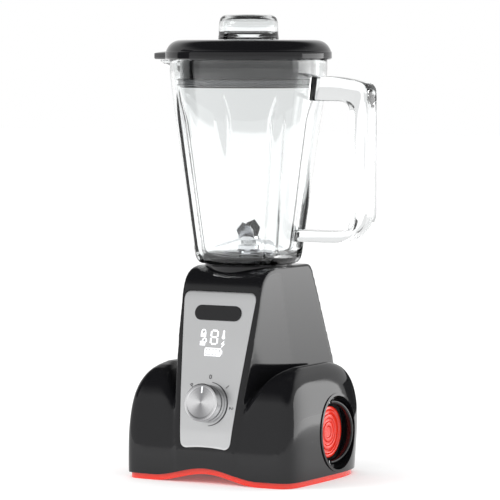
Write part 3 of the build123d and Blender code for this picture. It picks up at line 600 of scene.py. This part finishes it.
def make_panel():
    panel = panel_slab("panel_plate", lambda z: face_y(z) + 0.05, lambda z: face_y(z) + 0.95, 0.35)
    modify(panel, "BEVEL", width=0.25 * MM, segments=2, limit_method="ANGLE")
    settle(panel)
    return finish_piece(panel, BRUSHED_STEEL, "base", ["front_panel"], sharp=50)


# ------------------------------------------------------------------ the knob and its scale
knob_axis = Vector(joints["knob_turn"]["axis"]).normalized()
knob_low, knob_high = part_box("speed_knob")
knob_front = (knob_low + knob_high) / 2


def knob_matrix(out):
    """Local frame on the knob's axis: Z out of the panel, X to the right, Y up the panel."""
    across = Vector((1, 0, 0))
    up = knob_axis.cross(across)
    turn = Matrix((across, up, knob_axis)).transposed().to_4x4()
    base = Vector(joints["knob_turn"]["pos_m"])
    centre = base + knob_axis * (knob_front - base).dot(knob_axis)
    return Matrix.Translation(centre + knob_axis * out * MM) @ turn


FACE_OUT = KNOB_HIGH / 2        # the knob's face, from its middle
PANEL_OUT = -KNOB_HIGH / 2 - 0.7


def make_knob():
    """Turned knob with a raised rim, and its pointer line."""
    low, high = -KNOB_HIGH / 2, KNOB_HIGH / 2
    profile = rounded(
        [(0, high - 0.35), (KNOB_R - 2.9, high - 0.35), (KNOB_R - 2.5, high), (KNOB_R, high),
         (KNOB_R, low), (KNOB_R - 1.4, low), (KNOB_R - 1.4, low + 1), (0, low + 1)],
        [0, 0.2, 0.2, 1.3, 0.3, 0.2, 0.2, 0], steps=4)
    knob = lathe("knob_body", profile, steps=192)
    knob.matrix_world = knob_matrix(0)
    finish_piece(knob, ALUMINIUM, "knob", ["speed_knob"], sharp=45)
    line = box_cutter((-0.55, KNOB_R - 8.2, -0.5), (0.55, KNOB_R - 2.4, -0.2))
    line.name = "knob_pointer"
    modify(line, "BEVEL", width=0.12 * MM, segments=2)
    settle(line)
    line.matrix_world = knob_matrix(FACE_OUT + 0.02)
    # the pointer, a white inlay, takes the icons' glowing white: a painted glow
    return finish_piece(line, ICON_WHITE, "knob")


def on_panel(reach, turn, lift):
    """Point on the panel at a polar place round the knob, lifted off the panel."""
    flat = Vector((reach * math.cos(turn) * MM, reach * math.sin(turn) * MM, 0))
    at = (knob_matrix(PANEL_OUT) @ flat) / MM
    return (at.x, face_y(at.z) - lift, at.z)


def make_scale():
    """Printed arc, thin at both ends, and the four labels round it."""
    rows = []
    for k in range(61):
        turn = math.radians(between(SCALE_HALF_TURN, -SCALE_HALF_TURN, k / 60))
        wide = between(0.25, 0.62, smooth_step(k / 20)) * between(1, 0.45, smooth_step((k - 40) / 20))
        ring = []
        for r, z in ((-1, 0), (1, 0), (1, 0.12), (-1, 0.12)):
            ring.append(on_panel(KNOB_R + SCALE_GAP + r * wide, turn, 0.02 + z))
        rows.append(ring)
    arc = skin("scale_arc", rows, caps=True)
    finish_piece(arc, PRINT_GREY, "base")
    for text, turn in LABELS:
        make_label(text, turn)


def make_label(text, turn):
    """One printed character, its foot towards the knob."""
    curve = bpy.data.curves.new("label_" + text, "FONT")
    curve.body = text
    curve.size = LABEL_SIZE * MM
    curve.align_x = "CENTER"
    curve.align_y = "CENTER"
    curve.extrude = 0.06 * MM
    letter = bpy.data.objects.new("label_" + text, curve)
    bpy.context.scene.collection.objects.link(letter)
    mesh = bpy.data.meshes.new_from_object(letter)
    bpy.data.objects.remove(letter)
    label = bpy.data.objects.new("label_" + text, mesh)
    bpy.context.scene.collection.objects.link(label)
    at = Vector(on_panel(KNOB_R + LABEL_GAP, math.radians(turn), 0.16)) * MM
    lean = Matrix.Rotation(math.radians(turn - 90), 4, "Z")
    upright = knob_matrix(0).to_quaternion().to_matrix().to_4x4()
    label.matrix_world = Matrix.Translation(at) @ upright @ lean
    finish_piece(label, PRINT_GREY, "base")


# ------------------------------------------------------------------ battery ends
def body_x(y, z):
    """X of the low body's side at (y, z)."""
    inner, outer, front, back = lobe_at(z)
    centre = (front + back) / 2
    power = LOBE_FRONT_POWER if y < centre else LOBE_BACK_POWER
    over = min(1.0, abs(y - centre) / (back - centre)) ** power
    return (inner + outer) / 2 + (outer - inner) / 2 * (1 - over) ** (1 / power)


def make_recess_rim(side, name):
    """Painted highlight: a bright metal bead round the opening that the battery pack slides into, standing
    in for the light mirrored on the gloss black edge there.
    """
    bead_r = 1.0
    rows = []
    for k in range(120):
        turn = 2 * math.pi * k / 120
        out = Vector((0, math.cos(turn), math.sin(turn)))
        y, z = PACK_Y + RECESS_R * out.y, PACK_Z + RECESS_R * out.z
        centre = Vector((side * (body_x(y, z) - 0.9), y, z)) - out * bead_r
        ring = []
        for j in range(10):
            bead = 2 * math.pi * j / 10
            aside = Vector((bead_r * math.sin(bead), 0, 0))
            ring.append(tuple(centre + out * bead_r * math.cos(bead) + aside))
        rows.append(ring)
    rim = skin("recess_rim_" + name, rows, loop=True)
    finish_piece(rim, PAINTED_RIM_HIGHLIGHT, "base")


def make_red_button(side, name):
    """Round end of the battery pack, with three raised rings: radius and X of its outline."""
    profile = rounded(
        [(0, 69.6), (22.4, 69.6), (22.4, 73.6), (19.6, 73.9), (18.4, 72.4), (15.8, 72.4), (15.0, 73.5),
         (12.4, 73.5), (11.6, 72.2), (9.0, 72.2), (8.2, 73.3), (5.4, 73.3), (4.6, 72.2), (0, 72.2)],
        [0, 0, 1.0, 1.0, 0.6, 0.6, 0.6, 0.6, 0.6, 0.6, 0.6, 0.6, 0.6, 0], steps=4)
    rows = []
    for k in range(128):
        turn = 2 * math.pi * k / 128
        rows.append([(side * x, PACK_Y + r * math.cos(turn), PACK_Z + r * math.sin(turn))
                     for r, x in profile])
    button = skin("red_button_" + name, rows, loop=True)
    finish_piece(button, RED_PLASTIC, "pack_" + name, ["pack_button_" + name])


def make_pull_handle(side, name):
    """Half ring on the pack's pivot, swung a little out of the recess."""
    middle = Vector((side * PIVOT_X, PACK_Y, PACK_Z))
    swing = Matrix.Rotation(-side * math.radians(PULL_REST), 3, "Z")
    rows = []
    for k in range(65):
        turn = math.radians(between(-90, 90, k / 64))
        out = Vector((0, math.cos(turn), math.sin(turn)))
        wide = 2.9 + 0.5 * math.cos(turn)
        ring = []
        for j in range(20):
            bead = 2 * math.pi * j / 20
            along = math.copysign(abs(math.cos(bead)) ** 0.6, math.cos(bead)) * 1.6
            aside = math.copysign(abs(math.sin(bead)) ** 0.6, math.sin(bead)) * wide
            ring.append(tuple(middle + swing @ (out * (26.3 + along) + Vector((aside, 0, 0)))))
        rows.append(ring)
    handle = skin("pull_handle_" + name, rows, caps=True)
    finish_piece(handle, GLOSS_BLACK, "pull_" + name, ["pack_handle_" + name])


def make_pack_end(side):
    name = "right" if side > 0 else "left"
    make_recess_rim(side, name)
    make_red_button(side, name)
    make_pull_handle(side, name)


# ------------------------------------------------------------------ jar
def jar_radius(z):
    """Outer radius of the wall."""
    points = [
        (JAR_BOTTOM, 41.0), (186.4, 43.8), (189.5, 45.8), JAR_LOW, JAR_MID, (351.0, JAR_TOP[1]), JAR_TOP,
    ]
    for (low, a), (high, b) in zip(points, points[1:]):
        if z <= high:
            return between(a, b, (z - low) / (high - low))
    return JAR_TOP[1]


def flute(turn, z):
    """How far a flute presses in the wall, in millimetres."""
    close = smooth_step((FLUTE_TOP - z) / 30)
    if close <= 0:
        return 0.0
    for flute_turn in FLUTE_TURNS:
        away = (turn - math.radians(flute_turn) + math.pi) % (2 * math.pi) - math.pi
        s = away * jar_radius(z) / (FLUTE_HALF * max(0.15, close ** 0.6))
        if abs(s) < 1:
            return FLUTE_DEEP * close * (1 - s * s) ** 1.4
    return 0.0


def spout_reach(turn, z):
    """The pouring lip at -X: how far it stands out of the wall."""
    away = abs((turn + 2 * math.pi) % (2 * math.pi) - math.pi)
    rise = smooth_step((z - 347) / 14)
    half = 0.30
    if away > half or rise <= 0:
        return 0.0
    return 21.5 * rise * (1 - away / half) ** 1.5


def jar_section(turn, outer, inner):
    """Closed outline of the wall at one turn: neck, outer side, lip, inner side and floor."""
    row = [(24, 186), (30.5, 186), (30.5, 168), (33.5, 168), (33.5, 184.6)]
    for z in outer:
        row.append((jar_radius(z) - flute(turn, z) + spout_reach(turn, z), z))
    lip = jar_radius(360) + spout_reach(turn, 361)
    top = between(362.6, 360.4, smooth_step(spout_reach(turn, 361) / 8))
    row += [(lip - 0.3, top - 0.5), (lip - 1.0, top), (lip - JAR_WALL + 1.0, top)]
    row += [(lip - JAR_WALL + 0.2, top - 0.5)]
    for z in reversed(inner):
        row.append((jar_radius(z) - flute(turn, z) + spout_reach(turn, z + 2.4) - JAR_WALL, z))
    low = jar_radius(197) - flute(turn, 197) - JAR_WALL
    row += [(low - 0.4, 196), (low - 2.4, 192.4), (low - 5.5, 190.3), (low - 9, JAR_FLOOR)]
    row += [(24, JAR_FLOOR)]
    return row


def jar_handle():
    """Open handle with its two arms, as it reaches into the wall."""
    outline = rounded(
        [(47.5, 205), (100, 205), (121, 221), (121, 341), (86, 347), (64.6, 347), (63.2, 326),
         (104, 326), (104, 215), (48.6, 215)],
        [0, 12, 12, 9, 14, 0, 0, 11, 11, 0], steps=7)
    handle = skin("handle", [[(x, y, z) for x, z in outline] for y in (-10, 10)], caps=True)
    modify(handle, "BEVEL", width=2.4 * MM, segments=4, limit_method="ANGLE",
           angle_limit=math.radians(60))
    return settle(handle)


def make_jar():
    steps = 360
    outer = [JAR_BOTTOM, 186.4, 189.5, 194] + [194 + 132 * k / 44 for k in range(1, 45)]
    outer += [331, 336, 341, 346, 349, 352, 355, 357.5, 359.8]
    inner = [z for z in outer if z > 198]
    rows = []
    for k in range(steps):
        turn = 2 * math.pi * k / steps
        cos, sin = math.cos(turn), math.sin(turn)
        rows.append([(r * cos, r * sin, z) for r, z in jar_section(turn, outer, inner)])
    jar = skin("jar_body", rows, ring=True, loop=True)
    combine(jar, [jar_handle()], "UNION")
    return finish_piece(jar, CLEAR, "jar_group", ["jar"], sharp=50)


# ------------------------------------------------------------------ lid and cap
def beak(turn, r, z):
    """The lid's tongue over the spout."""
    away = abs((turn + 2 * math.pi) % (2 * math.pi) - math.pi)
    half = 0.27
    if away > half or r < LID_R - 4 or z > 370:
        return 0.0
    fade = smooth_step((370 - z) / 4)
    return 23.5 * fade * (1 - away / half) ** 1.35


def make_lid():
    """Domed lid with its cap hole and the plug that reaches into the jar."""
    profile = [
        (CAP_HOLE_R + 2.2, LID_TOP - 3), (CAP_HOLE_R + 2.2, 364), (CAP_HOLE_R, 364), (CAP_HOLE_R, LID_TOP),
        (57, LID_TOP), (62.5, 377.4), (66.4, 375.6), (69.3, 372.6), (70.9, 369.6), (71.4, 368.2),
        (72.0, 367.6), (LID_R, 366.4), (LID_R, LID_LOW + 1), (LID_R - 1, LID_LOW),
        (LID_R - 2.6, LID_LOW), (LID_R - 2.6, 363.6),
        (PLUG_R, 363.6), (PLUG_R, PLUG_LOW), (PLUG_R - 2.4, PLUG_LOW), (PLUG_R - 2.4, LID_TOP - 3),
    ]
    radii = [0.5, 0.5, 0.5, 0.8, 3, 2, 2, 2, 0.8, 0.3, 0.3, 1, 0.6, 0.6, 0.3, 0.3, 0.3, 0.5, 0.5, 0.5]
    lid = lathe("lid_shell", rounded(profile, radii, steps=4), steps=360, reach=beak)
    return finish_piece(lid, GLOSS_BLACK, "lid_group", ["lid"], sharp=50)


def make_cap():
    """Clear measuring cup, upside down in the lid."""
    profile = [
        (0, CAP_TOP - 0.6), (15.6, CAP_TOP - 0.6), (16.8, CAP_TOP), (20.2, CAP_TOP), (24.0, 397.6),
        (25.4, 393.0), (25.8, 383.0), (26.3, LID_TOP + 0.3), (21.5, LID_TOP + 0.3), (21.0, 360.0),
        (19.0, 360.0), (19.6, 379.0), (23.4, 383.6), (23.3, 392.0), (22.0, 395.6), (18.4, 397.2),
        (0, 397.2),
    ]
    radii = [0, 0.6, 0.6, 2.5, 3, 3, 2, 0.4, 0.4, 0.5, 0.5, 1.5, 1.5, 2, 2, 1, 0]
    cap = lathe("measuring_cup", rounded(profile, radii, steps=4), steps=160)
    return finish_piece(cap, CLEAR, "cap", ["measuring_cap"], sharp=50)


make_housing()
make_panel()
make_knob()
make_scale()
make_pack_end(1)
make_pack_end(-1)
make_jar()
make_lid()
make_cap()


# ------------------------------------------------------------------ floor, light and camera
def make_floor():
    """White ground that reaches past the horizon."""
    rows = [[(x, y, 0) for x in (-9000, 9000)] for y in (-9000, 9000)]
    floor = skin("floor", rows, ring=False)
    look = surface("floor_white", (0.97, 0.97, 0.97), 0.6, grain=40, relief=0.0, mottle=0.0,
                   Specular_IOR_Level=0.0, Emission_Color=(1, 1, 1, 1), Emission_Strength=0.1)
    floor.data.materials.append(look)


def soft_box(name, at, aim, width, height, power, mirrored=True):
    """Area light, in metres and watts; mirrored says whether it shows in the gloss."""
    light = bpy.data.lights.new(name, "AREA")
    light.shape = "RECTANGLE"
    light.size = width
    light.size_y = height
    light.energy = power
    made = bpy.data.objects.new(name, light)
    bpy.context.scene.collection.objects.link(made)
    made.visible_glossy = mirrored
    made.location = at
    made.rotation_euler = (Vector(aim) - Vector(at)).to_track_quat("-Z", "Y").to_euler()


def dark_card(name, at, width, height):
    """Black card beside the object: seen only in reflections and through the clear parts."""
    rows = [[(-width / 2, 0, z), (width / 2, 0, z)] for z in (0, height)]
    card = skin(name, rows, ring=False)
    card.location = Vector(at) * MM
    card.rotation_euler = (0, 0, math.atan2(at[1], at[0]) + math.pi / 2)
    card.data.materials.append(RUBBER)
    card.visible_camera = False
    card.visible_shadow = False
    card.visible_diffuse = False


SKY_FADE = (26.0, 46.0)     # degrees above the horizon, where the mirrored sky turns dark
SKY_DARK = 0.04
CAMERA_TURN = math.radians(30)
CAMERA_AWAY = 2.8
CAMERA_HEIGHT = 0.378
AIM_HEIGHT = 0.194


def make_camera():
    """Long lens from the front right, a little above the rim of the base."""
    data = bpy.data.cameras.new("camera")
    data.lens = 232.5
    data.sensor_width = 36.0
    data.shift_x = 0.003
    data.shift_y = 0.004
    data.clip_end = 50
    camera = bpy.data.objects.new("camera", data)
    bpy.context.scene.collection.objects.link(camera)
    turn = CAMERA_TURN
    camera.location = (CAMERA_AWAY * math.sin(turn), -CAMERA_AWAY * math.cos(turn), CAMERA_HEIGHT)
    aim = Vector((0, 0, AIM_HEIGHT)) - camera.location
    camera.rotation_euler = aim.to_track_quat("-Z", "Y").to_euler()
    bpy.context.scene.camera = camera


def make_world():
    """White all round, but dark overhead where it is mirrored in the gloss."""
    world = bpy.data.worlds.new("studio")
    world.use_nodes = True
    tree = world.node_tree
    white = tree.nodes["Background"]
    white.inputs["Color"].default_value = (1, 1, 1, 1)
    white.inputs["Strength"].default_value = 1.0
    mirrored = tree.nodes.new("ShaderNodeBackground")
    place = tree.nodes.new("ShaderNodeTexCoord")
    split = tree.nodes.new("ShaderNodeSeparateXYZ")
    fade = tree.nodes.new("ShaderNodeMapRange")
    fade.interpolation_type = "SMOOTHSTEP"
    fade.inputs["From Min"].default_value = math.sin(math.radians(SKY_FADE[0]))
    fade.inputs["From Max"].default_value = math.sin(math.radians(SKY_FADE[1]))
    fade.inputs["To Min"].default_value = 1.0
    fade.inputs["To Max"].default_value = SKY_DARK
    path = tree.nodes.new("ShaderNodeLightPath")
    choose = tree.nodes.new("ShaderNodeMixShader")
    link(tree, place.outputs["Generated"], split.inputs["Vector"])
    link(tree, split.outputs["Z"], fade.inputs["Value"])
    link(tree, fade.outputs["Result"], mirrored.inputs["Strength"])
    link(tree, path.outputs["Is Glossy Ray"], choose.inputs["Fac"])
    link(tree, white.outputs["Background"], choose.inputs[1])
    link(tree, mirrored.outputs["Background"], choose.inputs[2])
    link(tree, choose.outputs["Shader"], tree.nodes["World Output"].inputs["Surface"])
    bpy.context.scene.world = world
    bpy.context.scene.view_settings.view_transform = "Standard"


make_floor()
make_world()
make_camera()
soft_box("flank_light", (0.72, 0.60, 0.22), (0.04, 0, 0.20), 0.80, 0.44, 3.0)
soft_box("key_light", (-1.6, -1.6, 1.7), (0, 0, 0.2), 1.2, 1.2, 22, mirrored=False)
dark_card("card_left", (-460, -200, 205), 220, 420)
dark_card("card_back", (60, 620, 0), 440, 185)
